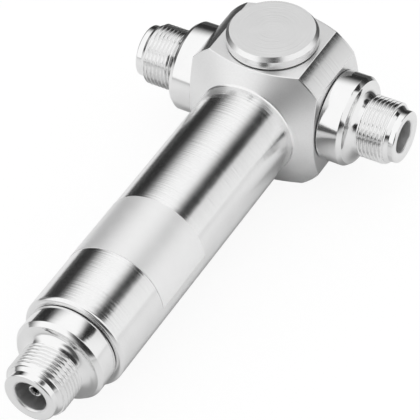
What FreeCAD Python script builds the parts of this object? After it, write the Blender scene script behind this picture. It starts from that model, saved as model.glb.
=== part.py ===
"""Coaxial power splitter, T form: one long common line and two side ports.

The part lies on the milled flat under its head. The origin is the centre of that flat,
+Z points up to the cover cap, the long tube runs along -Y to the common port, and the
two side ports point along -X (left) and +X (right). Lengths are in millimetres.
"""

import FreeCAD, Part
import os

import Sketcher

SIZES = [
    # alias, value, what it measures
    ("bar_radius", 21.25, "turned bar that the head is milled from"),
    ("flat_offset", 17.25, "port axis to each of the four milled flats"),
    ("head_half", 9.75, "half the length of the full bar diameter"),
    ("shoulder_length", 5.1, "front cone, along the axis"),
    ("rear_cone_length", 3.25, "rear cone, along the axis"),
    ("rear_face_radius", 16.25, "flat rear face"),
    ("tube_radius", 13.05, "long tube, outside"),
    ("tube_reach", 96.1, "side port axis to the tube's end face"),
    ("tube_round", 1.0, "rounding of the tube's end"),
    ("root_fillet", 0.6, "fillet between shoulder and tube"),
    ("flat_edge", 0.15, "broken edges of the four flats"),
    ("bore_radius", 8.75, "outer conductor, inside the tube and head"),
    ("chamber_depth", 9.25, "end of the main bore behind the side port axis"),
    ("socket_radius", 9.5, "threaded seat for a connector's spigot"),
    ("socket_depth", 7.5, "depth of that seat"),
    ("access_radius", 8.0, "assembly hole under the cap"),
    ("cap_rim", 3.45, "how far the cap's rim stands out beyond its spigot"),
    ("cap_top", 3.5, "cap's top face above the head's flat"),
    ("cap_chamfer", 0.78, "chamfer round the cap's top, inwards"),
    ("cap_chamfer_height", 1.12, "that chamfer, along the axis"),
    ("cap_plug_depth", 4.0, "cap's spigot below the head's flat"),
    ("cap_seal_thickness", 0.3, "seal ring under the cap"),
    ("seal_inset", 0.2, "how far a seal stands in from the rim above it"),
    ("fit_gap", 0.05, "running clearance of a spigot in its seat"),
    ("flange_rim", 2.05, "how far a connector's flange stands out beyond its spigot"),
    ("flange_front", 6.85, "flange's front face from the seat"),
    ("flange_chamfer_depth", 0.8, "chamfer round the flange's front, inwards"),
    ("flange_chamfer_length", 1.1, "that chamfer, along the axis"),
    ("flange_edge", 0.2, "broken edge at the flange's root"),
    ("flange_seal_thickness", 0.2, "seal ring under a flange"),
    ("spigot_length", 7.0, "connector spigot behind the seat"),
    ("spigot_chamfer", 0.5, "lead on the spigot's end"),
    ("neck_radius", 7.2, "neck between flange and thread"),
    ("neck_length", 2.05, "neck, along the axis"),
    ("neck_fillet", 1.95, "fillet between flange and neck"),
    ("neck_plain", 0.1, "least plain stretch between that fillet and the thread"),
    ("thread_radius", 7.9375, "5/8 inch coupling thread, over its crests"),
    ("thread_length", 7.2, "threaded length"),
    ("thread_lead", 0.25, "chamfer at both ends of the thread"),
    ("land_radius", 7.3, "plain land in front of the thread"),
    ("land_length", 0.35, "that land, along the axis"),
    ("cone_length", 0.85, "cone from the land to the nose, along the axis"),
    ("nose_radius", 6.65, "plain nose"),
    ("nose_length", 1.65, "plain nose, along the axis"),
    ("nose_round", 0.45, "rounding of the nose"),
    ("mating_radius", 4.05, "socket that takes the plug's outer contact"),
    ("mating_depth", 9.1, "mouth to the reference plane"),
    ("mouth_lead_width", 1.4, "how much wider the mouth is than that socket"),
    ("mouth_lead_depth", 0.6, "depth over which it narrows"),
    ("line_radius", 3.5, "outer conductor behind the reference plane"),
    ("bead_front", 6.0, "insulator's front shoulder from the seat"),
    ("bead_radius", 5.0, "insulator and the bush behind it"),
    ("bead_length", 4.0, "insulator, along the axis"),
    ("contact_radius", 1.52, "centre contact"),
    ("contact_recess", 2.5, "mouth to the contact's tip"),
    ("pin_hole_radius", 0.85, "hole in the contact"),
    ("pin_hole_depth", 6.0, "depth of that hole"),
    ("pin_hole_lead", 0.3, "lead chamfer of that hole"),
    ("slot_width", 0.25, "slots that part the contact's fingers"),
    ("slot_length", 4.6, "those slots, along the axis"),
    ("collar_radius", 2.2, "collar that stops the contact in its insulator"),
    ("collar_length", 0.8, "that collar, along the axis"),
    ("tail_radius", 1.25, "solder tail behind the collar"),
    ("tail_reach", 15.5, "tail's end behind the seat"),
    ("solder_gap", 0.03, "gap for solder round a tail or spigot"),
    ("rod_front_gap", 1.2, "rod's front end behind the connector spigot"),
    ("rod_front_radius", 4.15, "first section of the stepped rod"),
    ("rod_middle_radius", 4.85, "second section"),
    ("rod_rear_radius", 5.5, "third section, next to the junction"),
    ("quarter_wave", 26.8, "length of the second and of the third section"),
    ("rod_edge", 0.3, "chamfer on the rod's front end"),
    ("rod_spigot_radius", 3.0, "rod's spigot in the junction block"),
    ("rod_spigot_length", 3.0, "that spigot, along the axis"),
    ("hole_bottom_gap", 0.3, "clearance at the bottom of blind holes"),
    ("support_length", 4.0, "insulating ring that centres the rod"),
    ("block_half", 5.5, "half the side of the junction block"),
    ("block_chamfer", 0.7, "its broken edges"),
    ("label_start", 58.4, "side port axis to the label's near edge"),
    ("label_width", 19.15, "label, along the tube"),
    ("label_film", 0.1, "thickness of the label"),
    ("label_right_angle", 87.0, "label's right end, degrees round from the top"),
    ("label_sweep_angle", 182.0, "label, degrees round the tube"),
]

document = FreeCAD.newDocument("coaxial_splitter")
sheet = document.addObject("Spreadsheet::Sheet", "Sizes")


class Size:
    """A number, together with the sheet expression that gives it."""

    def __init__(self, text, value):
        self.text = text
        self.value = value

    def _with(self, sign, other, value):
        if not isinstance(other, Size):
            other = Size(str(other), other)
        return Size(f"({self.text} {sign} {other.text})", value)

    def __add__(self, other):
        return self._with("+", other, self.value + plain(other))

    def __sub__(self, other):
        return self._with("-", other, self.value - plain(other))

    def __mul__(self, other):
        return self._with("*", other, self.value * plain(other))

    def __neg__(self):
        return Size(f"(-1 * {self.text})", -self.value)


def plain(number):
    """The bare value of a Size or a number."""
    return number.value if isinstance(number, Size) else number


def smaller(first, second):
    """The smaller of two Sizes, which follows both."""
    text = f"min({first.text}; {second.text})"
    return Size(text, min(first.value, second.value))


def fill_sheet():
    """Write the table to the sheet and return its Sizes by name."""
    named = {}
    for row, (alias, value, note) in enumerate(SIZES, start=1):
        sheet.set(f"A{row}", note)
        sheet.set(f"B{row}", str(value))
        sheet.setAlias(f"B{row}", alias)
        named[alias] = Size(f"{sheet.Name}.{alias}", value)
    document.recompute()
    return named


size = fill_sheet()
ZERO = Size("0", 0.0)

# Distances that several pieces share, measured outwards from a connector's seat
thread_start = size["flange_front"] + size["neck_length"]
thread_end = thread_start + size["thread_length"]
cone_start = thread_end + size["land_length"]
nose_start = cone_start + size["cone_length"]
mouth = nose_start + size["nose_length"]
contact_tip = mouth - size["contact_recess"]
reference_plane = mouth - size["mating_depth"]
bead_rear = size["bead_front"] - size["bead_length"]
spigot_radius = size["socket_radius"] - size["fit_gap"]
flange_radius = spigot_radius + size["flange_rim"]
plug_radius = size["access_radius"] - size["fit_gap"]
cap_radius = plug_radius + size["cap_rim"]
tail_hole_radius = size["tail_radius"] + size["solder_gap"]

# Stations along the tube, measured from the side ports' axis (forwards is -Y)
shoulder_end = size["head_half"] + size["shoulder_length"]
rear_face = size["head_half"] + size["rear_cone_length"]
rod_front = size["tube_reach"] - size["spigot_length"] - size["rod_front_gap"]
rear_step = size["block_half"] + size["quarter_wave"]
front_step = rear_step + size["quarter_wave"]

# How near, in mm, an edge or point must lie to the place that it is looked for
NEAR = 0.01

# Each port: where its seat is, and the turn that points its local +Z outwards
X_AXIS = FreeCAD.Vector(1, 0, 0)
Y_AXIS = FreeCAD.Vector(0, 1, 0)
PORTS = {
    "common": ((ZERO, -size["tube_reach"]), FreeCAD.Rotation(X_AXIS, 90)),
    "left": ((-size["flat_offset"], ZERO), FreeCAD.Rotation(Y_AXIS, -90)),
    "right": ((size["flat_offset"], ZERO), FreeCAD.Rotation(Y_AXIS, 90)),
}

nodes = []


def bind(thing, prop, value):
    """Set a property from a Size and keep it tied to the sheet."""
    thing.setExpression(prop, value.text)


def seat(thing, across=ZERO, along=ZERO, up=size["flat_offset"], turn=FreeCAD.Rotation()):
    """Place a piece by its own origin, by default at the height of the port axes."""
    base = FreeCAD.Vector(across.value, along.value, up.value)
    thing.Placement = FreeCAD.Placement(base, turn)
    bind(thing, "Placement.Base.x", across)
    bind(thing, "Placement.Base.y", along)
    bind(thing, "Placement.Base.z", up)


def new_body(label):
    """A body that becomes the node of that name."""
    body = document.addObject("PartDesign::Body", label)
    body.Label = label
    nodes.append(body)
    return body


def sketch_on(body, role, name):
    """An empty sketch on one of the body's own origin planes."""
    sketch = body.newObject("Sketcher::SketchObject", f"{body.Name}_{name}")
    planes = [item for item in body.Origin.OriginFeatures if item.Role == role]
    sketch.AttachmentSupport = [(planes[0], "")]
    sketch.MapMode = "FlatFace"
    return sketch


def pin_point(sketch, line, end, across, up):
    """Tie one end of a line to two Sizes measured from the sketch's origin."""
    for kind, value, axis in (("DistanceX", across, -2), ("DistanceY", up, -1)):
        if value is ZERO:
            sketch.addConstraint(Sketcher.Constraint("PointOnObject", line, end, axis))
            continue
        index = sketch.addConstraint(
            Sketcher.Constraint(kind, -1, 1, line, end, value.value)
        )
        sketch.setExpression(f"Constraints[{index}]", value.text)


def add_outline(sketch, corners):
    """Draw a closed outline of straight lines through corners given as Sizes."""
    first = sketch.GeometryCount
    count = len(corners)
    places = [FreeCAD.Vector(u.value, v.value, 0) for u, v in corners]
    for index in range(count):
        line = Part.LineSegment(places[index], places[(index + 1) % count])
        sketch.addGeometry(line, False)
    for index in range(count):
        here = first + index
        after = first + (index + 1) % count
        sketch.addConstraint(Sketcher.Constraint("Coincident", here, 2, after, 1))
        pin_point(sketch, here, 1, *corners[index])


def add_circle(sketch, radius, across=ZERO, up=ZERO):
    """Draw a circle of a given radius about a point given as Sizes."""
    middle = FreeCAD.Vector(across.value, up.value, 0)
    normal = FreeCAD.Vector(0, 0, 1)
    index = sketch.addGeometry(Part.Circle(middle, normal, radius.value), False)
    pin_point(sketch, index, 3, across, up)
    held = sketch.addConstraint(Sketcher.Constraint("Radius", index, radius.value))
    sketch.setExpression(f"Constraints[{held}]", radius.text)


def turned(body, corners, name="profile", cut=False, role="XZ_Plane", axis="V_Axis"):
    """Revolve an outline round its sketch's axis, to add metal or to cut it."""
    sketch = sketch_on(body, role, name)
    add_outline(sketch, corners)
    kind = "PartDesign::Groove" if cut else "PartDesign::Revolution"
    feature = body.newObject(kind, f"{body.Name}_{name}_turn")
    feature.Profile = sketch
    feature.ReferenceAxis = (sketch, [axis])
    feature.Angle = 360
    document.recompute()
    return feature


def round_edges(body, feature, radius, wanted, kind="Fillet"):
    """Fillet or chamfer the edges of a feature that pass a test."""
    edges = [
        f"Edge{number}"
        for number, edge in enumerate(feature.Shape.Edges, start=1)
        if wanted(edge)
    ]
    dressing = body.newObject(f"PartDesign::{kind}", f"{feature.Name}_{kind}")
    dressing.Base = (feature, edges)
    bind(dressing, "Radius" if kind == "Fillet" else "Size", radius)
    document.recompute()
    return dressing


def ring_at(radius, axis, place):
    """A test for the circular edge of a given radius at a station on an axis."""

    def wanted(edge):
        if not isinstance(edge.Curve, Part.Circle):
            return False
        middle = edge.Curve.Center
        on_station = abs(getattr(middle, axis) - plain(place)) < NEAR
        return on_station and abs(edge.Curve.Radius - plain(radius)) < NEAR

    return wanted


def make_housing():
    """Head and long tube, turned from one bar, milled flat on four sides and bored."""
    body = new_body("housing")
    seat(body)
    # Drawn below the axis, so that the turned faces' seams lie underneath
    outline = [
        (rear_face, ZERO),
        (rear_face, -size["rear_face_radius"]),
        (size["head_half"], -size["bar_radius"]),
        (-size["head_half"], -size["bar_radius"]),
        (-shoulder_end, -size["tube_radius"]),
        (-size["tube_reach"], -size["tube_radius"]),
        (-size["tube_reach"], ZERO),
    ]
    blank = turned(body, outline, "outside", role="YZ_Plane", axis="H_Axis")
    root = ring_at(size["tube_radius"], "y", -shoulder_end)
    filleted = round_edges(body, blank, size["root_fillet"], root)
    rim = ring_at(size["tube_radius"], "y", -size["tube_reach"])
    round_edges(body, filleted, size["tube_round"], rim)
    mill_flats(body)
    bore_main_line(body)
    bore_side_ports(body)
    bore_access_hole(body)


def mill_flats(body):
    """Four flats round the head: all metal outside a square is milled away."""
    sketch = sketch_on(body, "XZ_Plane", "flats")
    inner = size["flat_offset"]
    outer = size["bar_radius"] + size["bar_radius"]
    for half in (inner, outer):
        add_outline(sketch, [(-half, -half), (half, -half), (half, half), (-half, half)])
    pocket = body.newObject("PartDesign::Pocket", "housing_flats_cut")
    pocket.Profile = sketch
    pocket.Midplane = True
    bind(pocket, "Length", shoulder_end * 2)
    document.recompute()

    def bounds_a_flat(edge):
        start, end = (vertex.Point for vertex in (edge.Vertexes[0], edge.Vertexes[-1]))
        middle = edge.valueAt((edge.FirstParameter + edge.LastParameter) / 2)
        reach = [max(abs(point.x), abs(point.z)) for point in (start, middle, end)]
        return all(abs(far - inner.value) < NEAR for far in reach)

    round_edges(body, pocket, size["flat_edge"], bounds_a_flat, kind="Chamfer")


def bore_main_line(body):
    """Bore from the tube's end to the junction chamber, wider where a spigot seats."""
    seat_end = -(size["tube_reach"] - size["socket_depth"])
    outline = [
        (-(size["tube_reach"] + size["tube_round"]), ZERO),
        (-(size["tube_reach"] + size["tube_round"]), size["socket_radius"]),
        (seat_end, size["socket_radius"]),
        (seat_end, size["bore_radius"]),
        (size["chamber_depth"], size["bore_radius"]),
        (size["chamber_depth"], ZERO),
    ]
    turned(body, outline, "main_bore", cut=True, role="YZ_Plane", axis="H_Axis")


def bore_side_ports(body):
    """One straight bore across the head, with a connector seat at either end."""
    ledge = size["flat_offset"] - size["socket_depth"]
    outside = size["bar_radius"]
    outline = [
        (-outside, ZERO),
        (-outside, size["socket_radius"]),
        (-ledge, size["socket_radius"]),
        (-ledge, size["bore_radius"]),
        (ledge, size["bore_radius"]),
        (ledge, size["socket_radius"]),
        (outside, size["socket_radius"]),
        (outside, ZERO),
    ]
    turned(body, outline, "side_bore", cut=True, role="XZ_Plane", axis="H_Axis")


def bore_access_hole(body):
    """Hole from the top flat to the junction, through which the joints are soldered."""
    outline = [
        (ZERO, ZERO),
        (size["access_radius"], ZERO),
        (size["access_radius"], size["bar_radius"]),
        (ZERO, size["bar_radius"]),
    ]
    turned(body, outline, "access", cut=True)


def make_cap():
    """Round cover pressed into the access hole, with a seal ring under its rim."""
    body = new_body("cover_cap")
    seat(body, up=size["flat_offset"] * 2)
    # Drawn on the -X side, where its seam shows least
    outline = [
        (ZERO, -size["cap_plug_depth"]),
        (-plug_radius, -size["cap_plug_depth"]),
        (-plug_radius, size["cap_seal_thickness"]),
        (-cap_radius, size["cap_seal_thickness"]),
        (-cap_radius, size["cap_top"] - size["cap_chamfer_height"]),
        (-(cap_radius - size["cap_chamfer"]), size["cap_top"]),
        (ZERO, size["cap_top"]),
    ]
    turned(body, outline)
    make_seal("cap_seal", cap_radius, plug_radius, size["cap_seal_thickness"])
    seat(nodes[-1], up=size["flat_offset"] * 2)


def make_seal(label, rim, plug, thickness):
    """Flat rubber ring between a rim and the face that it closes on."""
    body = new_body(label)
    inner = plug + size["fit_gap"]
    outer = rim - size["seal_inset"]
    turned(body, [(inner, ZERO), (outer, ZERO), (outer, thickness), (inner, thickness)])


def make_connector(port):
    """Turned connector body: spigot, flange, neck, coupling thread, cone and nose."""
    body = new_body(f"{port}_connector")
    seat_face = size["flange_seal_thickness"]
    thread = size["thread_radius"]
    lead = size["thread_lead"]
    outline = [
        (ZERO, -size["spigot_length"]),
        (spigot_radius - size["spigot_chamfer"], -size["spigot_length"]),
        (spigot_radius, size["spigot_chamfer"] - size["spigot_length"]),
        (spigot_radius, seat_face),
        (flange_radius - size["flange_edge"], seat_face),
        (flange_radius, seat_face + size["flange_edge"]),
        (flange_radius, size["flange_front"] - size["flange_chamfer_length"]),
        (flange_radius - size["flange_chamfer_depth"], size["flange_front"]),
        (size["neck_radius"], size["flange_front"]),
        (size["neck_radius"], thread_start),
        (thread - lead, thread_start),
        (thread, thread_start + lead),
        (thread, thread_end - lead),
        (thread - lead, thread_end),
        (size["land_radius"], thread_end),
        (size["land_radius"], cone_start),
        (size["nose_radius"], nose_start),
        (size["nose_radius"], mouth),
        (ZERO, mouth),
    ]
    outside = turned(body, outline, "outside")
    corner = ring_at(size["neck_radius"], "z", size["flange_front"])
    room = size["neck_length"] - size["neck_plain"]
    filleted = round_edges(body, outside, smaller(size["neck_fillet"], room), corner)
    rim = ring_at(size["nose_radius"], "z", mouth)
    round_edges(body, filleted, size["nose_round"], rim)
    bore_connector(body)
    return body


def bore_connector(body):
    """Stepped bore: mating socket, air line, then the seat of insulator and bush."""
    mating = size["mating_radius"]
    outline = [
        (ZERO, -size["spigot_length"]),
        (size["bead_radius"], -size["spigot_length"]),
        (size["bead_radius"], size["bead_front"]),
        (size["line_radius"], size["bead_front"]),
        (size["line_radius"], reference_plane),
        (mating, reference_plane),
        (mating, mouth - size["mouth_lead_depth"]),
        (mating + size["mouth_lead_width"], mouth),
        (ZERO, mouth),
    ]
    turned(body, outline, "bore", cut=True)


def make_contact(port):
    """Female centre contact: slotted spring fingers, stop collar and solder tail."""
    body = new_body(f"{port}_contact")
    collar_rear = bead_rear - size["collar_length"]
    hole = size["pin_hole_radius"]
    outline = [
        (ZERO, -size["tail_reach"]),
        (size["tail_radius"], -size["tail_reach"]),
        (size["tail_radius"], collar_rear),
        (size["collar_radius"], collar_rear),
        (size["collar_radius"], bead_rear),
        (size["contact_radius"], bead_rear),
        (size["contact_radius"], contact_tip),
        (hole + size["pin_hole_lead"], contact_tip),
        (hole, contact_tip - size["pin_hole_lead"]),
        (hole, contact_tip - size["pin_hole_depth"]),
        (ZERO, contact_tip - size["pin_hole_depth"]),
    ]
    turned(body, outline)
    half = size["slot_width"] * 0.5
    root = contact_tip - size["slot_length"]
    sketch = sketch_on(body, "YZ_Plane", "slot")
    top = contact_tip + size["slot_width"]
    add_outline(sketch, [(-half, root), (half, root), (half, top), (-half, top)])
    slot = body.newObject("PartDesign::Pocket", f"{body.Name}_slot_cut")
    slot.Profile = sketch
    slot.Midplane = True
    bind(slot, "Length", size["contact_radius"] * 4)
    document.recompute()
    cross = body.newObject("PartDesign::PolarPattern", f"{body.Name}_slots")
    cross.Originals = [slot]
    cross.Axis = (sketch, ["V_Axis"])
    cross.Angle = 90
    cross.Occurrences = 2
    body.Tip = cross
    document.recompute()
    return body


def make_insulator(port):
    """Plastic bead that centres the contact against the connector's shoulder."""
    body = new_body(f"{port}_insulator")
    inner = size["contact_radius"]
    outer = size["bead_radius"]
    front = size["bead_front"]
    turned(body, [(inner, bead_rear), (outer, bead_rear), (outer, front), (inner, front)])
    return body


def make_bush(port):
    """Bush pressed in behind the insulator, flush with the spigot's end."""
    body = new_body(f"{port}_bush")
    inner = size["line_radius"]
    outer = size["bead_radius"]
    rear = -size["spigot_length"]
    turned(body, [(inner, rear), (outer, rear), (outer, bead_rear), (inner, bead_rear)])
    return body


def make_port(port):
    """All five pieces of one port, moved out to the seat that the port has."""
    (across, along), turn = PORTS[port]
    make_connector(port)
    make_contact(port)
    make_insulator(port)
    make_bush(port)
    make_seal(f"{port}_gasket", flange_radius, spigot_radius, size["flange_seal_thickness"])
    for body in nodes[-5:]:
        seat(body, across, along, turn=turn)


def make_rod():
    """Stepped inner conductor of the tube: two quarter-wave steps and a front section."""
    body = new_body("transformer_rod")
    seat(body)
    hole_end = size["tube_reach"] - size["tail_reach"] - size["hole_bottom_gap"]
    edge = size["rod_edge"]
    spigot_end = -(size["block_half"] - size["rod_spigot_length"])
    outline = [
        (-hole_end, ZERO),
        (-hole_end, tail_hole_radius),
        (-rod_front, tail_hole_radius),
        (-rod_front, size["rod_front_radius"] - edge),
        (edge - rod_front, size["rod_front_radius"]),
        (-front_step, size["rod_front_radius"]),
        (-front_step, size["rod_middle_radius"]),
        (-rear_step, size["rod_middle_radius"]),
        (-rear_step, size["rod_rear_radius"]),
        (-size["block_half"], size["rod_rear_radius"]),
        (-size["block_half"], size["rod_spigot_radius"]),
        (spigot_end, size["rod_spigot_radius"]),
        (spigot_end, ZERO),
    ]
    turned(body, outline, role="YZ_Plane", axis="H_Axis")


def make_rod_support():
    """Insulating ring between rod and tube, against the rod's rear step."""
    body = new_body("rod_support")
    seat(body)
    inner = size["rod_middle_radius"]
    outer = size["bore_radius"]
    front = -(rear_step + size["support_length"])
    outline = [(front, inner), (front, outer), (-rear_step, outer), (-rear_step, inner)]
    turned(body, outline, role="YZ_Plane", axis="H_Axis")


def make_junction():
    """Block where the rod and the two side contacts are soldered together."""
    body = new_body("junction_block")
    seat(body)
    half = size["block_half"]
    sketch = sketch_on(body, "XZ_Plane", "square")
    add_outline(sketch, [(-half, -half), (half, -half), (half, half), (-half, half)])
    block = body.newObject("PartDesign::Pad", "junction_block_pad")
    block.Profile = sketch
    block.Midplane = True
    bind(block, "Length", half * 2)
    document.recompute()
    round_edges(body, block, size["block_chamfer"], lambda edge: True, kind="Chamfer")
    across = sketch_on(body, "YZ_Plane", "cross_hole")
    add_circle(across, tail_hole_radius)
    cross = body.newObject("PartDesign::Pocket", "junction_block_cross_cut")
    cross.Profile = across
    cross.Midplane = True
    bind(cross, "Length", half * 3)
    document.recompute()
    spigot = size["rod_spigot_radius"] + size["solder_gap"]
    bottom = size["rod_spigot_length"] + size["hole_bottom_gap"] - half
    outline = [(-(half * 2), ZERO), (-(half * 2), spigot), (bottom, spigot), (bottom, ZERO)]
    turned(body, outline, "rod_hole", cut=True, role="YZ_Plane", axis="H_Axis")


def make_label():
    """Adhesive film round the upper side of the tube, blank."""
    turn = FreeCAD.Rotation(X_AXIS, 90) * FreeCAD.Rotation(
        FreeCAD.Vector(0, 0, 1), 90 - size["label_right_angle"].value
    )
    film = document.addObject("Part::Cylinder", "label_film")
    bind(film, "Radius", size["tube_radius"] + size["label_film"])
    bind(film, "Angle", size["label_sweep_angle"])
    core = document.addObject("Part::Cylinder", "label_core")
    bind(core, "Radius", size["tube_radius"])
    for cylinder in (film, core):
        bind(cylinder, "Height", size["label_width"])
        seat(cylinder, along=-size["label_start"], turn=turn)
    label = document.addObject("Part::Cut", "label")
    label.Label = "label"
    label.Base = film
    label.Tool = core
    document.recompute()
    nodes.append(label)


def check_document():
    """Stop if any object failed or any piece is not one valid solid."""
    document.recompute()
    for thing in document.Objects:
        if "Invalid" in thing.State or "Error" in thing.State:
            raise RuntimeError(f"{thing.Name} failed: {thing.State}")
    for node in nodes:
        shape = node.Shape
        if shape.isNull() or not shape.isValid() or len(shape.Solids) != 1:
            raise RuntimeError(f"{node.Label} is not one valid solid")


def write_parts():
    """Write each node to its own STEP file."""
    os.makedirs("parts", exist_ok=True)
    for node in nodes:
        node.Shape.exportStep(f"parts/{node.Label}.step")
        print(f"{node.Label}: {node.Shape.Volume:.1f} mm3")


make_housing()
make_cap()
for port_name in PORTS:
    make_port(port_name)
make_rod()
make_rod_support()
make_junction()
make_label()
check_document()
write_parts()
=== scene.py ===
# %% [markdown]
# # A coaxial power splitter, plated and turned
#
# The object is a T-shaped power splitter for radio cables. A long tube carries the common
# port, a milled head carries one port on either side, and a round cap closes the hole
# through which it was soldered. Nearly all of it is bright plated metal, so most of this
# lesson is about three things: the marks that a lathe and a mill leave, the threads, and
# what the metal has to reflect.

# %% Load the frame
import bpy
import bmesh
from math import cos, degrees, pi, radians, sin
from mathutils import Matrix, Vector


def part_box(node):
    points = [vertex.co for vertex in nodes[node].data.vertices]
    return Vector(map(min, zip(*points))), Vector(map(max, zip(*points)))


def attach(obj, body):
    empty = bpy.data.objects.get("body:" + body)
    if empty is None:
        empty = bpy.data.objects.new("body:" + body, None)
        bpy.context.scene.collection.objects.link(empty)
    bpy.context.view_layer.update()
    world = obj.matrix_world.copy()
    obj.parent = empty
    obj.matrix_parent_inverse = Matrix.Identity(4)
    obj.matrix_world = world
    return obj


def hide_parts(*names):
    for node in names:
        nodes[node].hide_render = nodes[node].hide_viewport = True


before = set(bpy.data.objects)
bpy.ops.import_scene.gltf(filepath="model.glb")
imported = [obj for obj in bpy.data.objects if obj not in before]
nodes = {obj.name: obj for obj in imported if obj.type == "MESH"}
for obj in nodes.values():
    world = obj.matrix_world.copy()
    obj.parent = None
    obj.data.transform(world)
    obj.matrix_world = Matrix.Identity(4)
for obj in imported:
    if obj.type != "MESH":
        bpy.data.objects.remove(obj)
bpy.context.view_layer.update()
BODY = "root"

# %% [markdown]
# ## Measures taken from the frame
#
# The solids already have their real places and sizes. What their boxes hold is read from
# them and not written a second time. What no box holds, such as the steps of a connector's
# outline or the pitch of its thread, gets its own number where it is first needed.

# %% Sizes from the boxes
MM = 0.001
housing_low, housing_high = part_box("housing")
common_low, common_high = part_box("common_connector")
right_low, right_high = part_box("right_connector")

axis_height = (common_low.z + common_high.z) / 2
flange_radius = (common_high.x - common_low.x) / 2
tube_end = housing_low.y
side_seat = housing_high.x
mouth = right_high.x - side_seat
spigot_end = right_low.x - side_seat
print(f"Port axes at {axis_height / MM:.2f} mm, mouths {mouth / MM:.2f} mm from their seats")

# %% [markdown]
# ## Shader maths as Python expressions
#
# A node tree could be made node by node and link by link, but it reads best as a formula.
# `Wire` stands for an output socket: adding, multiplying or comparing two wires makes the
# Math node that does it.

# %% Wire
class Wire:
    """An output socket that can be used in a formula."""

    def __init__(self, net, node, output=0):
        self.net = net
        self.node = node
        self.socket = node.outputs[output] if node.outputs else None

    def output(self, name):
        return Wire(self.net, self.node, name)

    def maths(self, operation, first, *rest):
        values = dict(enumerate((first, *rest)))
        return self.net.add("ShaderNodeMath", {"operation": operation}, values)

    def __add__(self, other):
        return self.maths("ADD", self, other)

    def __radd__(self, other):
        return self.maths("ADD", other, self)

    def __sub__(self, other):
        return self.maths("SUBTRACT", self, other)

    def __rsub__(self, other):
        return self.maths("SUBTRACT", other, self)

    def __mul__(self, other):
        return self.maths("MULTIPLY", self, other)

    def __rmul__(self, other):
        return self.maths("MULTIPLY", other, self)

    def __truediv__(self, other):
        return self.maths("DIVIDE", self, other)

    def __gt__(self, other):
        return self.maths("GREATER_THAN", self, other)

    def __lt__(self, other):
        return self.maths("LESS_THAN", self, other)

    def __mod__(self, other):
        return self.maths("MODULO", self, other)

    def __abs__(self):
        return self.maths("ABSOLUTE", self)

    def floor(self):
        return self.maths("FLOOR", self)

    def fraction(self):
        return self.maths("FRACT", self)

    def root(self):
        return self.maths("SQRT", self)

    def at_most(self, other):
        return self.maths("MINIMUM", self, other)

    def at_least(self, other):
        return self.maths("MAXIMUM", self, other)


print("A formula on wires makes a Math node for each sign in it")

# %% [markdown]
# ## One net for each node tree
#
# `Net` wraps the tree of a material, of the world or of a shape. Its `add` method makes
# every node that isn't plain maths. It sets the node's settings first, because they decide
# which sockets the node has, and its inputs after them. The other methods are small
# patterns that several finishes share.

# %% Net
# where a Mix node keeps its two values and its result
MIX_SOCKETS = {"VECTOR": (4, 5, 1), "RGBA": (6, 7, 2)}


class Net:
    """One node tree. Every node in it is made by add."""

    def __init__(self, tree):
        tree.nodes.clear()
        self.tree = tree

    def add(self, kind, settings=None, values=None):
        node = self.tree.nodes.new(kind)
        for name, value in (settings or {}).items():
            setattr(node, name, value)
        for name, value in (values or {}).items():
            if isinstance(value, Wire):
                self.tree.links.new(value.socket, node.inputs[name])
            else:
                node.inputs[name].default_value = value
        return Wire(self, node)

    def split(self, vector):
        """The three numbers of a vector."""
        parts = self.add("ShaderNodeSeparateXYZ", values={0: vector})
        return parts, parts.output("Y"), parts.output("Z")

    def vector(self, x, y, z):
        return self.add("ShaderNodeCombineXYZ", values={0: x, 1: y, 2: z})

    def soft_step(self, value, low, high):
        """0 below low, 1 above high, and a smooth slope between them."""
        ends = {"Value": value, "From Min": low, "From Max": high}
        return self.add("ShaderNodeMapRange", {"interpolation_type": "SMOOTHSTEP"}, ends)

    def edge(self, value, middle, blur):
        """A soft step whose slope is blur wide, with its middle at a value."""
        return self.soft_step(value, middle - blur / 2, middle + blur / 2)

    def mix(self, kind, factor, first, second):
        """A blend of two vectors or two colours."""
        a, b, result = MIX_SOCKETS[kind]
        values = {0: factor, a: first, b: second}
        mixed = self.add("ShaderNodeMix", {"data_type": kind}, values)
        return mixed.output(result)

    def noise(self, vector, scale, detail=2.0):
        """A random pattern between 0 and 1 that follows the vector."""
        values = {"Vector": vector, "Scale": scale, "Detail": detail}
        return self.add("ShaderNodeTexNoise", {"noise_dimensions": "3D"}, values)


print("Kinds of value that a net can mix:", ", ".join(MIX_SOCKETS))

# %% [markdown]
# ## One way to make every material
#
# A surface here is a Principled shader. Constants such as how metallic it is are set on the
# shader's own sockets. Only what varies over the surface is wired in: colour, roughness
# and a bump for the tool marks. Pictures could carry these too, but formulas stay sharp
# however near one looks, and they need no unwrapping.

# %% Helpers for surfaces
def new_material(name):
    """An empty material and the net of its nodes."""
    material = bpy.data.materials.new(name)
    material.use_nodes = True
    return material, Net(material.node_tree)


def new_surface(name, constants):
    """A material with one Principled shader, ready to be wired."""
    material, net = new_material(name)
    shader = net.add("ShaderNodeBsdfPrincipled", values=constants)
    net.add("ShaderNodeOutputMaterial", values={"Surface": shader})
    return material, net, shader.node


def wire_in(net, shader, name, value):
    """Link a wire to an input of the shader."""
    net.tree.links.new(value.socket, shader.inputs[name])


def grey(net, level):
    """The grey of a level from 0 to 1."""
    return net.add("ShaderNodeCombineColor", values={0: level, 1: level, 2: level})


def bump_from(net, shader, height, normal=None):
    """Feed a height in metres to the Normal input, on the surface's own normal or another."""
    values = {"Height": height, "Distance": 1.0, "Strength": 1.0}
    if normal is not None:
        values["Normal"] = normal
    wire_in(net, shader, "Normal", net.add("ShaderNodeBump", values=values))


print("Each surface gets its tone, roughness and bump from formulas")

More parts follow.
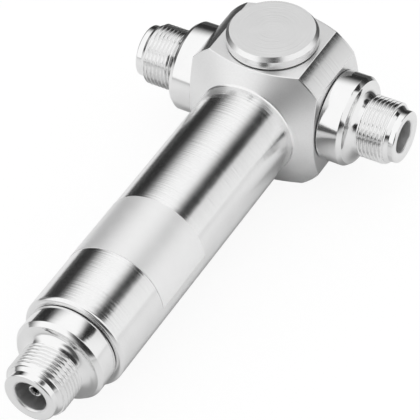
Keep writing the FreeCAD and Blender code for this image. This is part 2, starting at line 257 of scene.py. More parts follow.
# %% [markdown]
# ## Lathe marks
#
# A turning tool leaves a very fine groove that runs round the axis. Seen from a step away
# the grooves can't be told apart, but they smear every reflection along the axis and comb
# its edges. An anisotropic shader would smear, but not comb, and the export can't bake it.
# Noise that is squeezed hard along the axis and stretched round it does both. Two sizes
# are mixed: the feed of the tool, and slower waves in it.

# %% Grooves of the lathe
FEED = 0.16 * MM
WAVES = 0.36 * MM
WAVE_SHARE = 3
STRETCH = 0.02


def grooves(net, along, around, other, spacing):
    """A pattern squeezed along the axis and stretched round it."""
    long = STRETCH / spacing
    place = net.vector(around * long, along * (1 / spacing), other * long)
    return net.noise(place, 1.0, 1.0)


def lathe_marks(net, along, around, other, depth):
    """Height in metres of the grooves that run round an axis."""
    fine = grooves(net, along, around, other, FEED)
    slow = grooves(net, along, around, other, WAVES)
    return fine * depth + slow * (depth * WAVE_SHARE)


print(f"Grooves {FEED / MM:.2f} mm apart, waves {WAVES / MM:.2f} mm")

# %% [markdown]
# ## The housing's finish
#
# One bar was turned, and four flats were milled on its head afterwards, so one piece of
# metal shows three finishes. The tube is fine-turned and bright. The cones are turned
# more coarsely and look satin. The flats have the faint, even grain of a face mill. Three
# materials on sorted faces would do it, but then the solid's mesh would be changed. So one
# material tells them apart by the place on the object: its distance from the axis, and
# from the flats. Four narrow strips of the bar are left between the flats. Their shading
# would be blended with the flats beside them, so they get the normal of a true cylinder.

# %% The housing's metal
TUBE_ROUGHNESS = 0.16
CONE_ROUGHNESS = 0.38
FLAT_ROUGHNESS = 0.34
HOUSING_UNEVEN = 0.06
HOUSING_TONE = (0.76, 0.90)
HOUSING_CLOUDS = 160.0
HOUSING_GRAIN = 2600.0
GROOVE_DEPTH = 0.008 * MM
MILL_DEPTH = 0.003 * MM
MILL_ACROSS = 900
MILL_ALONG = 5200
FLAT_BLUR = 0.04 * MM
CONE_MARGIN = 0.3 * MM
CONE_BLUR = 0.4 * MM
STRIP_EDGE = (0.05 * MM, 0.03 * MM)
tube_radius = 13.05 * MM
bar_radius = 21.25 * MM


def housing_finish():
    material, net, shader = new_surface("plated_housing", {"Metallic": 1.0})
    place = net.add("ShaderNodeTexCoord").output("Object")
    x, y, z = net.split(place)
    height = z - axis_height
    off_axis = (x * x + height * height).root()
    from_middle = abs(x).at_least(abs(height))
    on_flat = net.soft_step(from_middle, side_seat - FLAT_BLUR, side_seat)
    past_tube = net.edge(off_axis, tube_radius + CONE_MARGIN, CONE_BLUR)
    past_cone = net.edge(off_axis, bar_radius - CONE_MARGIN, CONE_BLUR)
    on_cone = past_tube * (1 - past_cone) * (1 - on_flat)
    cloud = net.noise(place, HOUSING_CLOUDS, 3.0)
    grain = net.noise(place, HOUSING_GRAIN, 2.0)
    roughness = (CONE_ROUGHNESS - TUBE_ROUGHNESS) * on_cone + TUBE_ROUGHNESS
    roughness = roughness + (FLAT_ROUGHNESS - TUBE_ROUGHNESS) * on_flat
    wire_in(net, shader, "Roughness", roughness + (cloud - 0.5) * HOUSING_UNEVEN)
    dark, light = HOUSING_TONE
    level = (cloud * 0.5 + grain * 0.5) * (light - dark) + dark
    wire_in(net, shader, "Base Color", grey(net, level))
    turned = lathe_marks(net, y, x, height, GROOVE_DEPTH)
    mill_place = net.vector(x * MILL_ACROSS, y * MILL_ALONG, z * MILL_ACROSS)
    milled = net.noise(mill_place, 1.0, 2.0) * MILL_DEPTH
    on_bar = net.soft_step(off_axis, *(bar_radius - edge for edge in STRIP_EDGE))
    outwards = net.vector(x / off_axis, 0, height / off_axis)
    given = net.add("ShaderNodeNewGeometry").output("Normal")
    normal = net.mix("VECTOR", on_bar, given, outwards)
    bump_from(net, shader, turned * (1 - on_flat) + milled * on_flat, normal)
    return material


housing_metal = housing_finish()
print(f"{housing_metal.name}: {len(housing_metal.node_tree.nodes)} nodes")

# %% [markdown]
# ## Turned metal for the connectors and the cap
#
# The connectors are turned to a brighter finish than the tube, and the common one has
# another axis than the side ones. Each could get a material drawn by hand, but the finish
# is the same, so it is a function that is told which way its piece was turned. The bores
# are reamed and stay rougher than the outside, and so do the pin holes in the silver plated
# contacts. Both are also painted darker inside, a little in the bores and much in the pin
# holes: painted shade in the hollows. The cap was faced on a lathe about the upright axis,
# which leaves rings on it.

# %% Turned metal
# radius, roughness, share of the tone left by the painted shade inside
SOCKET_BORE = (4.6 * MM, 0.46, 0.86)
PIN_HOLE = (1.3 * MM, 0.40, 0.25)
BORE_BLUR = 0.88
TURNED_CLOUDS = 220.0
TURNED_UNEVEN = 0.05


def turned_finish(name, axis, centre, roughness, depth, tone=(0.82, 0.87), bore=None):
    """Plated metal turned about the given axis, X, Y or Z, through a point."""
    material, net, shader = new_surface(name, {"Metallic": 1.0})
    place = net.add("ShaderNodeTexCoord").output("Object")
    from_centre = net.add(
        "ShaderNodeVectorMath", {"operation": "SUBTRACT"}, {0: place, 1: centre}
    )
    parts = dict(zip("XYZ", net.split(from_centre)))
    along = parts.pop(axis)
    one, two = parts.values()
    out = (one * one + two * two).root()
    cloud = net.noise(place, TURNED_CLOUDS, 3.0)
    dark, light = tone
    rough = roughness + (cloud - 0.5) * TURNED_UNEVEN
    level = cloud * (light - dark) + dark
    if bore:
        radius, bore_roughness, share = bore
        in_bore = 1 - net.soft_step(out, radius * BORE_BLUR, radius)
        rough = rough + in_bore * (bore_roughness - roughness)
        # painted shade: the tone is darkened inside the hole, as shade in a hollow
        level = level * (1 - in_bore * (1 - share))
    wire_in(net, shader, "Roughness", rough)
    wire_in(net, shader, "Base Color", grey(net, level))
    bump_from(net, shader, lathe_marks(net, along + out, one, two, depth))
    return material


connector_metal = {}
contact_metal = {}
for kind, axis in {"common": "Y", "side": "X"}.items():
    connector_metal[kind] = turned_finish(
        f"turned_{kind}", axis, (0, 0, axis_height),
        roughness=0.11, depth=0.002 * MM, bore=SOCKET_BORE,
    )
    contact_metal[kind] = turned_finish(
        f"silver_contact_{kind}", axis, (0, 0, axis_height),
        roughness=0.16, depth=0.001 * MM, tone=(0.86, 0.92), bore=PIN_HOLE,
    )
cap_metal = turned_finish(
    "faced_cap", "Z", (0, 0, 0), roughness=0.25, depth=0.004 * MM, tone=(0.81, 0.89)
)
print(f"Turned finishes: {len(connector_metal) + len(contact_metal) + 1}")

# %% [markdown]
# ## Label, seals, plastic and inner parts
#
# The label is a silvered film with a matt coat: half metal, half plastic. It is blank.
# The seals are black rubber, of which only a dark line shows. The beads are white
# plastic, the inner conductor silver plated, the bushes plain brass. None of them has a
# direction, so one function makes all five. Even a plain finish gets a little cloud and
# grain, because a perfectly even one looks drawn.

# %% Plain finishes
PLAIN_CLOUDS = 300.0
PLAIN_UNEVEN = 0.08


def plain_finish(name, constants, dark, light, roughness, grain, depth):
    """A finish without a direction: a little cloud in its tone and a fine grain."""
    material, net, shader = new_surface(name, constants)
    place = net.add("ShaderNodeTexCoord").output("Object")
    cloud = net.noise(place, PLAIN_CLOUDS, 3.0)
    colour = net.mix("RGBA", cloud, (*dark, 1.0), (*light, 1.0))
    wire_in(net, shader, "Base Color", colour)
    wire_in(net, shader, "Roughness", roughness + (cloud - 0.5) * PLAIN_UNEVEN)
    bump_from(net, shader, net.noise(place, grain, 2.0) * depth)
    return material


label_film = plain_finish(
    "silver_film", {"Metallic": 0.55, "IOR": 1.45}, (0.86,) * 3, (0.91,) * 3,
    roughness=0.40, grain=9000.0, depth=0.002 * MM,
)
seal_rubber = plain_finish(
    "black_rubber", {"IOR": 1.5}, (0.015,) * 3, (0.03,) * 3,
    roughness=0.75, grain=6000.0, depth=0.01 * MM,
)
bead_plastic = plain_finish(
    "white_plastic", {"IOR": 1.38}, (0.80, 0.80, 0.78), (0.86, 0.86, 0.84),
    roughness=0.5, grain=5000.0, depth=0.004 * MM,
)
inner_silver = plain_finish(
    "silver_plate", {"Metallic": 1.0}, (0.84, 0.83, 0.80), (0.90, 0.89, 0.86),
    roughness=0.2, grain=7000.0, depth=0.001 * MM,
)
bush_brass = plain_finish(
    "plain_brass", {"Metallic": 1.0}, (0.72, 0.56, 0.30), (0.80, 0.65, 0.38),
    roughness=0.28, grain=7000.0, depth=0.002 * MM,
)
print("Plain finishes:", label_film.name, seal_rubber.name, bead_plastic.name,
      inner_silver.name, bush_brass.name)

# %% [markdown]
# ## Dressing the solids
#
# Each solid whose shape is already right keeps its mesh and only gets its finish. They
# could all be modelled again with softer edges, but their chamfers and fillets are in the
# solids, and a second copy would only drift away from them.

# %% Finishes on the solids
# each port, and the kind of finish that its turned pieces have
PORTS = {"common": "common", "left": "side", "right": "side"}


def dress(name, material):
    """Give a solid its material."""
    thing = nodes[name]
    thing.data.materials.clear()
    thing.data.materials.append(material)


dress("housing", housing_metal)
dress("cover_cap", cap_metal)
dress("label", label_film)
dress("cap_seal", seal_rubber)
dress("transformer_rod", inner_silver)
dress("junction_block", inner_silver)
dress("rod_support", bead_plastic)
for port, kind in PORTS.items():
    dress(f"{port}_contact", contact_metal[kind])
    dress(f"{port}_insulator", bead_plastic)
    dress(f"{port}_bush", bush_brass)
    dress(f"{port}_gasket", seal_rubber)
print(f"{len(nodes)} solids, of which {len(PORTS)} connectors get a new mesh below")

# %% [markdown]
# ## The connector's outline
#
# A turned piece is an outline swung round an axis. This outline starts inside the spigot,
# goes round the outside to the mouth and comes back through the bore: flange, a tapered
# neck with a deep fillet, the thread, a short land, a cone, the plain nose and its wide
# rounded lip. The outline could be drawn as a curve by hand, but as a list of corners it
# keeps its sizes in sight. The stretch that gets the thread is drawn as a plain cylinder,
# and the thread is cut further on.

# %% Corners of the connector
seal_face = 0.2 * MM
flange_front = 6.85 * MM
spigot_radius = 9.45 * MM
spigot_chamfer = 0.5 * MM
flange_back = 0.2 * MM
flange_chamfer = 1.1 * MM
flange_drop = 0.8 * MM
neck_base_radius = 8.6 * MM
neck_radius = 7.3 * MM
neck_cuts = (1.68 * MM, 1.68 * MM)
crest_radius = 7.9375 * MM
thread_start = 8.9 * MM
thread_end = 16.1 * MM
thread_lead = 0.25 * MM
land_radius = 7.3 * MM
land_length = 0.35 * MM
cone_length = 0.85 * MM
cone_start = thread_end + land_length
nose_start = cone_start + cone_length
nose_radius = 6.65 * MM
nose_round = 0.45 * MM
lip_width = 1.65 * MM
lip_depth = 0.8 * MM
mating_radius = 4.05 * MM
mating_depth = 9.1 * MM
mating_end = mouth - mating_depth
line_radius = 3.5 * MM
bead_radius = 5.0 * MM
bead_front = 6.0 * MM
EDGE = 0.08 * MM

# station along the axis, radius, how far the corner is cut back on its two sides
CONNECTOR_CORNERS = [
    (spigot_end, bead_radius, 0, 0),
    (spigot_end, spigot_radius - spigot_chamfer, 0, 0),
    (spigot_end + spigot_chamfer, spigot_radius, 0, 0),
    (seal_face, spigot_radius, 0, 0),
    (seal_face, flange_radius - flange_back, EDGE, EDGE),
    (seal_face + flange_back, flange_radius, EDGE, EDGE),
    (flange_front - flange_chamfer, flange_radius, EDGE, EDGE),
    (flange_front, flange_radius - flange_drop, EDGE, EDGE),
    (flange_front, neck_base_radius, *neck_cuts),
    (thread_start, neck_radius, 0, 0),
    (thread_start, crest_radius, 0, 0),
    (thread_end - thread_lead, crest_radius, EDGE, EDGE),
    (thread_end, crest_radius - thread_lead, EDGE, EDGE),
    (thread_end, land_radius, EDGE, EDGE),
    (cone_start, land_radius, EDGE, EDGE),
    (nose_start, nose_radius, EDGE, EDGE),
    (mouth, nose_radius, nose_round, nose_round),
    (mouth, mating_radius, lip_width, lip_depth),
    (mating_end, mating_radius, 0, 0),
    (mating_end, line_radius, 0, 0),
    (bead_front, line_radius, 0, 0),
    (bead_front, bead_radius, 0, 0),
]
print(f"{len(CONNECTOR_CORNERS)} corners, from {spigot_end / MM:.1f} to {mouth / MM:.1f} mm")

# %% [markdown]
# ## Rounded corners
#
# A real piece has no perfectly sharp edge, and a drawn one that is sharp catches no light.
# So each corner of the list says how far it is cut back on its two sides, and an arc takes
# its place. A Bevel modifier would treat all corners alike, and here the lip and the neck
# want much more than the rest.

# %% Arcs in the outline
ARC_STEPS = 4
ARC_STEP = 0.12 * MM


def rounded_corner(before, corner, after, first, second):
    """Points of the arc that replaces a corner, from first before it to second after."""
    towards = (before - corner).normalized()
    onwards = (after - corner).normalized()
    start = corner + towards * first
    end = corner + onwards * second
    pull = 2 * sin(towards.angle(onwards) / 2)
    steps = ARC_STEPS + int(max(first, second) / ARC_STEP)
    points = []
    for step in range(steps + 1):
        share = step / steps
        weights = ((1 - share) ** 2, pull * share * (1 - share), share ** 2)
        total = start * weights[0] + corner * weights[1] + end * weights[2]
        points.append(total / sum(weights))
    return points


def rounded_outline(corners):
    """The outline's points, with every corner that asks for it rounded."""
    places = [Vector((station, radius)) for station, radius, _, _ in corners]
    points = []
    for index, (_, _, first, second) in enumerate(corners):
        if first == 0:
            points.append(places[index])
            continue
        before = places[index - 1]
        after = places[(index + 1) % len(places)]
        points.extend(rounded_corner(before, places[index], after, first, second))
    return points


outline = rounded_outline(CONNECTOR_CORNERS)
print(f"The rounded outline has {len(outline)} points")

# %% [markdown]
# ## A thread cut by a rule
#
# A screw thread is the rule "move one pitch along the axis for each turn". A bump could
# show the same lines, but not the teeth that stand out along the piece's edge, and a ridge
# swept along a helix leaves a seam with the cylinder under it. Here the thread limits the
# radius instead: where a point lies too far out for its phase, it is drawn in. Crests and
# roots are flat and the flanks straight, as a real thread has them. Next to the neck the
# crest grows out over part of a turn.

# %% The thread's rule
PITCH = 25.4 / 24 * MM
THREAD_DEPTH = 0.60 * MM
# shares of half a pitch, from the middle of a crest
CREST_HALF = 0.14
FLANK = 0.70
FIRST_CREST = 8.45 * MM
# turns after the first crest
FADE_FROM = -0.45
FADE_TO = 0.25


def thread_limit(net, given, station, radius, turn):
    """The radius left after the thread is cut, in the threaded stretch only."""
    start = given.output("Thread Start")
    end = given.output("Thread End")
    root = given.output("Root Radius")
    phase = (station - given.output("First Crest")) / given.output("Pitch") - turn
    from_crest = abs(phase.fraction() - 0.5) * 2
    form = (CREST_HALF + FLANK - from_crest) / FLANK
    form = form.at_least(0).at_most(1)
    turns = phase.floor() + turn
    grown = net.soft_step(turns, given.output("Fade From"), given.output("Fade To"))
    limit = root + form * grown * given.output("Thread Depth")
    threaded = (station > start) * (station < end) * (radius > root)
    return radius + (radius.at_most(limit) - radius) * threaded


print(f"Thread pitch {PITCH / MM:.3f} mm, {(thread_end - thread_start) / PITCH:.1f} turns")

# %% [markdown]
# ## The tree that turns and cuts
#
# Spin or a Screw modifier could swing the outline too, but neither knows a thread. This
# Geometry Nodes tree makes a grid with one column for each step round the axis and one row
# for each point of the outline. It bends the grid round the axis, cuts the thread on the
# way, and merges the seams, so the result is one closed skin.

# %% The turning tree
SEGMENTS = 168
WELD = 0.002 * MM


def tree_input(tree, name, kind):
    """A named input, so that a size can be set from outside the tree."""
    return tree.interface.new_socket(name, in_out="INPUT", socket_type=kind)


def threaded_turning():
    """The node tree that swings an outline round Z and cuts a thread on it."""
    tree = bpy.data.node_groups.new("threaded turning", "GeometryNodeTree")
    net = Net(tree)
    tree_input(tree, "Outline", "NodeSocketGeometry")
    tree_input(tree, "Segments", "NodeSocketInt")
    for name in (
        "Thread Start", "Thread End", "First Crest", "Fade From", "Fade To",
        "Pitch", "Root Radius", "Thread Depth",
    ):
        tree_input(tree, name, "NodeSocketFloat")
    tree_input(tree, "Finish", "NodeSocketMaterial")
    tree.interface.new_socket("Piece", in_out="OUTPUT", socket_type="NodeSocketGeometry")
    given = net.add("NodeGroupInput")
    outline = given.output("Outline")
    segments = given.output("Segments")
    size = net.add("GeometryNodeAttributeDomainSize", values={"Geometry": outline})
    count = size.output("Point Count")
    grid = net.add(
        "GeometryNodeMeshGrid",
        values={"Vertices X": segments + 1, "Vertices Y": count + 1},
    )
    index = net.add("GeometryNodeInputIndex")
    column = (index / (count + 1)).floor()
    row = index - column * (count + 1)
    position = net.add("GeometryNodeInputPosition")
    sampled = net.add(
        "GeometryNodeSampleIndex",
        {"data_type": "FLOAT_VECTOR", "domain": "POINT"},
        {"Geometry": outline, "Value": position, "Index": row % count},
    )
    station, radius, _ = net.split(sampled)
    turn = column / segments
    cut_radius = thread_limit(net, given, station, radius, turn)
    angle = turn * (2 * pi)
    across = cut_radius * angle.maths("COSINE", angle)
    up = cut_radius * angle.maths("SINE", angle)
    place = net.vector(across, up, station)
    swung = net.add(
        "GeometryNodeSetPosition", values={"Geometry": grid.output("Mesh"), "Position": place}
    )
    merged = net.add(
        "GeometryNodeMergeByDistance", values={"Geometry": swung, "Distance": WELD}
    )
    real = net.add("GeometryNodeRealizeInstances", values={"Geometry": merged})
    finished = net.add(
        "GeometryNodeSetMaterial",
        values={"Geometry": real, "Material": given.output("Finish")},
    )
    net.add("NodeGroupOutput", values={"Piece": finished})
    return tree


thread_tree = threaded_turning()
print(f"{thread_tree.name}: {len(thread_tree.nodes)} nodes, {SEGMENTS} steps round the axis")

# %% [markdown]
# ## From tree to plain mesh
#
# The outline becomes a closed loop of edges, the tree turns it into a skin, and the result
# is kept as a plain mesh. The modifier could stay on the object, but a plain mesh can be
# moved, turned outwards and shaded once and for all. Its place is put into the mesh itself,
# so that the object sits at the origin as the solids do.

# %% Helpers for plain meshes
SHARP_ANGLE = 32


def outline_object(name, points):
    """A loop of edges: station along X, radius along Y."""
    mesh = bpy.data.meshes.new(name)
    loop = [(index, (index + 1) % len(points)) for index in range(len(points))]
    mesh.from_pydata([(p.x, p.y, 0) for p in points], loop, [])
    thing = bpy.data.objects.new(name, mesh)
    bpy.context.scene.collection.objects.link(thing)
    return thing


def set_inputs(modifier, values):
    """Set a tree's inputs, found by name and set by identifier."""
    for item in modifier.node_group.interface.items_tree:
        if item.in_out == "INPUT" and item.name in values:
            modifier[item.identifier] = values[item.name]


def made_plain(thing, tree, values):
    """Run a tree on an object and keep the result as a plain mesh."""
    modifier = thing.modifiers.new("made by nodes", "NODES")
    modifier.node_group = tree
    set_inputs(modifier, values)
    graph = bpy.context.evaluated_depsgraph_get()
    graph.update()
    mesh = bpy.data.meshes.new_from_object(thing.evaluated_get(graph), depsgraph=graph)
    thing.modifiers.remove(modifier)
    thing.data = mesh


def finish_mesh(thing, place):
    """Put the place into the mesh, point its faces outwards and shade it."""
    thing.data.transform(place)
    work = bmesh.new()
    work.from_mesh(thing.data)
    bmesh.ops.recalc_face_normals(work, faces=work.faces)
    work.to_mesh(thing.data)
    work.free()
    thing.data.polygons.foreach_set("use_smooth", [True] * len(thing.data.polygons))
    thing.data.set_sharp_from_angle(angle=radians(SHARP_ANGLE))
    thing.data.update()


print(f"Edges that bend by more than {SHARP_ANGLE} degrees stay sharp")

# %% [markdown]
# ## Three connectors
#
# The three connectors are the same turned piece, screwed in facing three ways. Copies of
# one mesh would do, but the side ones are turned about another axis, so their tool marks
# need another finish. The same function makes each, and only its place and metal differ.
# Before that the outline gets more points along the thread, or its flanks would be too
# coarse to look straight.

# %% The threaded connectors
THREAD_MARGIN = 0.01 * MM
STEPS_PER_PITCH = 14


def with_fine_steps(points, low, high, step):
    """The same outline, divided finely wherever it lies between two stations."""
    fine = []
    for index, here in enumerate(points):
        after = points[(index + 1) % len(points)]
        fine.append(here)
        middle = (here.x + after.x) / 2
        if low < middle < high and min(here.y, after.y) > land_radius + EDGE:
            count = int((after - here).length / step)
            fine.extend(here.lerp(after, n / (count + 1)) for n in range(1, count + 1))
    return fine


def facing(seat, angle, about):
    """The place of a connector: its seat, and the turn that points +Z out of it."""
    return Matrix.Translation(seat) @ Matrix.Rotation(angle, 4, about)


FACING = {
    "common": facing((0, tube_end, axis_height), pi / 2, "X"),
    "left": facing((-side_seat, 0, axis_height), -pi / 2, "Y"),
    "right": facing((side_seat, 0, axis_height), pi / 2, "Y"),
}
outline = with_fine_steps(outline, thread_start, thread_end, PITCH / STEPS_PER_PITCH)
for port, kind in PORTS.items():
    piece = outline_object(f"{port}_threaded_connector", outline)
    made_plain(piece, thread_tree, {
        "Segments": SEGMENTS,
        "Thread Start": thread_start - THREAD_MARGIN,
        "Thread End": thread_end + THREAD_MARGIN,
        "First Crest": FIRST_CREST,
        "Fade From": FADE_FROM,
        "Fade To": FADE_TO,
        "Pitch": PITCH,
        "Root Radius": crest_radius - THREAD_DEPTH,
        "Thread Depth": THREAD_DEPTH,
        "Finish": connector_metal[kind],
    })
    finish_mesh(piece, FACING[port])
    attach(piece, BODY)
    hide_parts(f"{port}_connector")
    print(f"{piece.name}: {len(piece.data.polygons)} faces")

# %% [markdown]
# ## What the metal reflects
#
# Polished metal has hardly any look of its own: it shows the studio. The light comes from a
# wide soft box overhead and another at the right. Between them is a narrow dark gap, and
# the room round the boxes is dark near the horizon. A picture of a studio could stand for
# all that, but it couldn't be changed piece by piece. Here each dark place is a card, given
# by its directions in degrees: turn counts from straight behind the object towards its
# right, lift counts up from the horizon. The gap has two cards. The far one shows mostly
# where a ray bounces twice, between the flanks of a thread, and it makes the dark strip
# run across all the turns.

# %% The studio
SKY = 1.106
RIGHT_SKY = 1.01
RIGHT_EAST = (0.2, 0.6)
RIGHT_LIFT = (35, 60)
GROUND = 0.8
HORIZON = (-6, 2)
PLAIN_LEVEL = 1.0
WHITE = (1, 1, 1, 1)

# name, middle of the turn, half width, its two blurs, slant, lowest and highest lift,
# their blurs, darkness
CARDS = [
    ("room behind", -15.5, 53.5, 27, 38, 0.04, -10.9, 34.8, 28, 34, 0.97),
    ("room at the left", -82.4, 19.7, 45, 13, 0.92, -2.7, 30.5, 14, 11, 0.90),
    ("gap between the boxes", 34.8, 16, 38, 5, 0.3, 27.8, 48, 3, 13, 0.97),
    ("far end of the gap", 47, 13, 8, 7, -0.85, 46.5, 66, 5, 8, 0.97),
    ("room in front", 158, 24, 20, 12, 0, -8, 30, 10, 24, 0.90),
]


def card_mask(net, east, north, lift, card):
    """Darkness of one card in a direction: 0 outside it."""
    _, middle, half, blur_left, blur_right, slant, low, high, blur_low, blur_high, dark = card
    sine, cosine = sin(radians(middle)), cos(radians(middle))
    across = east * cosine - north * sine
    ahead = east * sine + north * cosine
    turn = across.maths("ARCTAN2", across, ahead) * degrees(1)
    turn = turn - (lift - (low + high) / 2) * slant
    mask = net.edge(turn, -half, blur_left) * (1 - net.edge(turn, half, blur_right))
    mask = mask * net.edge(lift, low, blur_low) * (1 - net.edge(lift, high, blur_high))
    return mask * dark


def directions(net, direction):
    """East, north and lift in degrees of a direction of length 1."""
    east, north, up = net.split(direction)
    return east, north, up.maths("ARCSINE", up) * degrees(1)


def studio_light(net):
    """How bright the studio is in each direction."""
    east, north, lift = directions(net, net.add("ShaderNodeTexCoord").output("Generated"))
    towards_right = net.soft_step(east, *RIGHT_EAST) * (1 - net.soft_step(lift, *RIGHT_LIFT))
    sky = (RIGHT_SKY - SKY) * towards_right + SKY
    level = sky * (net.soft_step(lift, *HORIZON) * (1 - GROUND) + GROUND)
    for card in CARDS:
        level = level * (1 - card_mask(net, east, north, lift, card))
    return level


world = bpy.data.worlds.new("studio")
bpy.context.scene.world = world
world.use_nodes = True
net = Net(world.node_tree)
ray = net.add("ShaderNodeLightPath")
seen = ray.output("Is Camera Ray").at_least(ray.output("Is Transmission Ray"))
glossy = ray.output("Is Glossy Ray")
strength = PLAIN_LEVEL + (studio_light(net) - PLAIN_LEVEL) * glossy
strength = strength + (1 - strength) * seen
background = net.add("ShaderNodeBackground", values={"Color": WHITE, "Strength": strength})
net.add("ShaderNodeOutputWorld", values={"Surface": background})
world.cycles.sampling_method = "NONE"
print(f"Studio with {len(CARDS)} dark cards, {len(world.node_tree.nodes)} nodes")

# %% [markdown]
# ## A black flag
#
# One dark shape stands near the object, so each port shows it in another place, which no
# card in the far studio can do. A photographer keeps light off metal with such a flag:
# black cloth on a stand. Here it is a piece of a sphere round the object. Only the metal
# sees it, with the soft edges of the cards above, and it neither shades the object nor
# shows in any view.

# %% The flag
# its numbers stand in the same order as a card's
FLAG = ("black flag", 142, 14, 7, 22, 0.75, 4, 57, 14, 8, 0.96)
FLAG_DISTANCE = 350 * MM
FLAG_CENTRE = Vector((0, -40 * MM, axis_height))
TURNS = range(90, 196, 3)
LIFTS = range(-3, 67, 3)


def flag_cloth():
    """Black inside the flag's soft edges and clear outside them."""
    material, net = new_material("flag_cloth")
    place = net.add("ShaderNodeTexCoord").output("Object")
    from_centre = net.add(
        "ShaderNodeVectorMath", {"operation": "SUBTRACT"}, {0: place, 1: FLAG_CENTRE}
    )
    direction = net.add(
        "ShaderNodeVectorMath", {"operation": "NORMALIZE"}, {0: from_centre}
    )
    dark = card_mask(net, *directions(net, direction), FLAG)
    clear = net.add("ShaderNodeBsdfTransparent")
    black = net.add("ShaderNodeEmission", values={"Strength": 0.0})
    mixed = net.add("ShaderNodeMixShader", values={0: dark, 1: clear, 2: black})
    net.add("ShaderNodeOutputMaterial", values={"Surface": mixed})
    return material


def sphere_patch():
    """Places and faces of a piece of a sphere, in columns of equal turn."""
    places = []
    for turn in TURNS:
        for lift in LIFTS:
            a, b = radians(turn), radians(lift)
            direction = Vector((sin(a) * cos(b), cos(a) * cos(b), sin(b)))
            places.append(FLAG_CENTRE + direction * FLAG_DISTANCE)
    rows = len(LIFTS)
    faces = [
        (n, n + 1, n + rows + 1, n + rows)
        for n in range(rows * (len(TURNS) - 1)) if (n + 1) % rows
    ]
    return places, faces


def studio_object(name, places, faces, material):
    """A mesh of the studio's own, linked to the scene."""
    mesh = bpy.data.meshes.new(name)
    mesh.from_pydata(places, [], faces)
    mesh.materials.append(material)
    thing = bpy.data.objects.new(name, mesh)
    bpy.context.scene.collection.objects.link(thing)
    return thing


flag = studio_object("black_flag", *sphere_patch(), flag_cloth())
flag.visible_camera = flag.visible_diffuse = flag.visible_shadow = False
flag.visible_transmission = flag.visible_volume_scatter = False
print(f"Flag of {len(flag.data.polygons)} faces, {FLAG_DISTANCE:.2f} m away")

# %% [markdown]
# ## Floor
#
# The floor is plain and pale. The camera sees it nearly white, with a trace of the
# object's shadow left. The metal sees paper with painted shade on it: a grey painted shadow
# right under the object, pale beside it, a little painted shade half way out, painted shade
# towards the front and falling off into the dark room behind, and painted light far off. A
# soft shadow would come by itself from real lamps, but here an even light keeps the colours
# true, so what the metal sees of the floor is written as a formula of the place on it.

# %% The floor
FLOOR_REACH = 1.5
FLOOR_DROP = 0.02 * MM
FLOOR_WHITE = 0.85
FLOOR_GLOW = 1.045
FLOOR_PLAIN = 0.8
PAPER = 0.92
# how much painted shade darkens the paper in a place, and where that begins and is complete
UNDER, UNDER_EDGE = 0.42, (6 * MM, 17 * MM)
HALF_WAY, HALF_WAY_EDGE = 0.10, (60 * MM, 160 * MM)
FRONT, FRONT_EDGE = 0.35, (110 * MM, 300 * MM)
BEHIND, BEHIND_EDGE = 0.90, (12 * MM, 92 * MM)
LEFT_SHARE = 0.3
# how much painted light makes it paler far away
FAR, FAR_EDGE = 0.20, (200 * MM, 800 * MM)


def paper_with_painted_shade(net, x, y):
    """Tone of the paper as the metal sees it, with painted shadow, shade and light by place.
    """
    # painted shadow under the tube and ports, painted shade half way out, in front and
    # behind, painted light far off
    reach = (x * x + y * y).root()
    from_tube = abs(x).at_least(y).at_least(tube_end - mouth / 2 - y)
    from_sides = abs(y).at_least(abs(x) - side_seat)
    under = 1 - net.soft_step(from_tube.at_most(from_sides), *UNDER_EDGE)
    half_way = net.soft_step(reach, *HALF_WAY_EDGE) * HALF_WAY
    far = net.soft_step(reach, *FAR_EDGE) * FAR
    front = net.soft_step(0 - y, *FRONT_EDGE) * FRONT
    behind = y - x.at_least(0) - x.at_most(0) * LEFT_SHARE
    behind = net.soft_step(behind, *BEHIND_EDGE) * BEHIND
    return (PAPER - under * UNDER - half_way + far) * (1 - behind) * (1 - front)


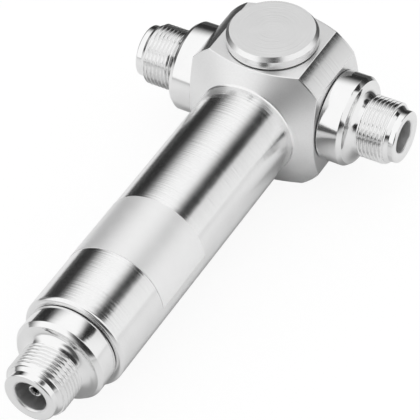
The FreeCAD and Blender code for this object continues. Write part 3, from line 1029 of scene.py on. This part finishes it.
def floor_paper():
    """Paper with painted shade for the metal, and nearly white for the camera."""
    material, net = new_material("pale_floor")
    x, y, _ = net.split(net.add("ShaderNodeTexCoord").output("Object"))
    ray = net.add("ShaderNodeLightPath")
    glossy = ray.output("Is Glossy Ray")
    tone = (paper_with_painted_shade(net, x, y) - FLOOR_PLAIN) * glossy + FLOOR_PLAIN
    paper = net.add("ShaderNodeBsdfDiffuse", values={"Color": grey(net, tone)})
    glow = net.add("ShaderNodeEmission", values={"Color": WHITE, "Strength": FLOOR_GLOW})
    share = ray.output("Is Camera Ray") * FLOOR_WHITE
    mixed = net.add("ShaderNodeMixShader", values={0: share, 1: paper, 2: glow})
    net.add("ShaderNodeOutputMaterial", values={"Surface": mixed})
    return material


corners = [(-1, -1), (1, -1), (1, 1), (-1, 1)]
places = [(x * FLOOR_REACH, y * FLOOR_REACH, 0) for x, y in corners]
floor = studio_object("floor", places, [(0, 1, 2, 3)], floor_paper())
floor.location.z = housing_low.z - FLOOR_DROP
print(f"Floor of {2 * FLOOR_REACH:.1f} m square")

# %% [markdown]
# ## Camera
#
# A long lens from the front right, well above the object. It looks at a point on the
# tube, and is rolled a little, as the photograph is. A shorter lens from nearer would
# frame it too, but would make the near port larger than the photograph shows it.

# %% The camera
CAMERA_TURN = 31.54
CAMERA_LIFT = 43.81
CAMERA_ROLL = -3.12
CAMERA_DISTANCE = 686.3 * MM
CAMERA_LENS = 247.6
CAMERA_SENSOR = 36.0
CAMERA_NEAR = 0.05
look_at = Vector((6.29 * MM, -43.78 * MM, axis_height))

turn, lift = radians(CAMERA_TURN), radians(CAMERA_LIFT)
away = Vector((sin(turn) * cos(lift), -cos(turn) * cos(lift), sin(lift)))
camera = bpy.data.objects.new("camera", bpy.data.cameras.new("camera"))
camera.data.lens = CAMERA_LENS
camera.data.sensor_width = CAMERA_SENSOR
camera.data.clip_start = CAMERA_NEAR
aim = (-away).to_track_quat("-Z", "Y").to_matrix().to_4x4()
roll = Matrix.Rotation(radians(CAMERA_ROLL), 4, "Z")
camera.matrix_world = Matrix.Translation(look_at + away * CAMERA_DISTANCE) @ aim @ roll
bpy.context.scene.collection.objects.link(camera)
bpy.context.scene.camera = camera
bpy.context.scene.view_settings.view_transform = "Standard"
print(f"Lens of {CAMERA_LENS:.0f} mm, {CAMERA_DISTANCE:.2f} m away")
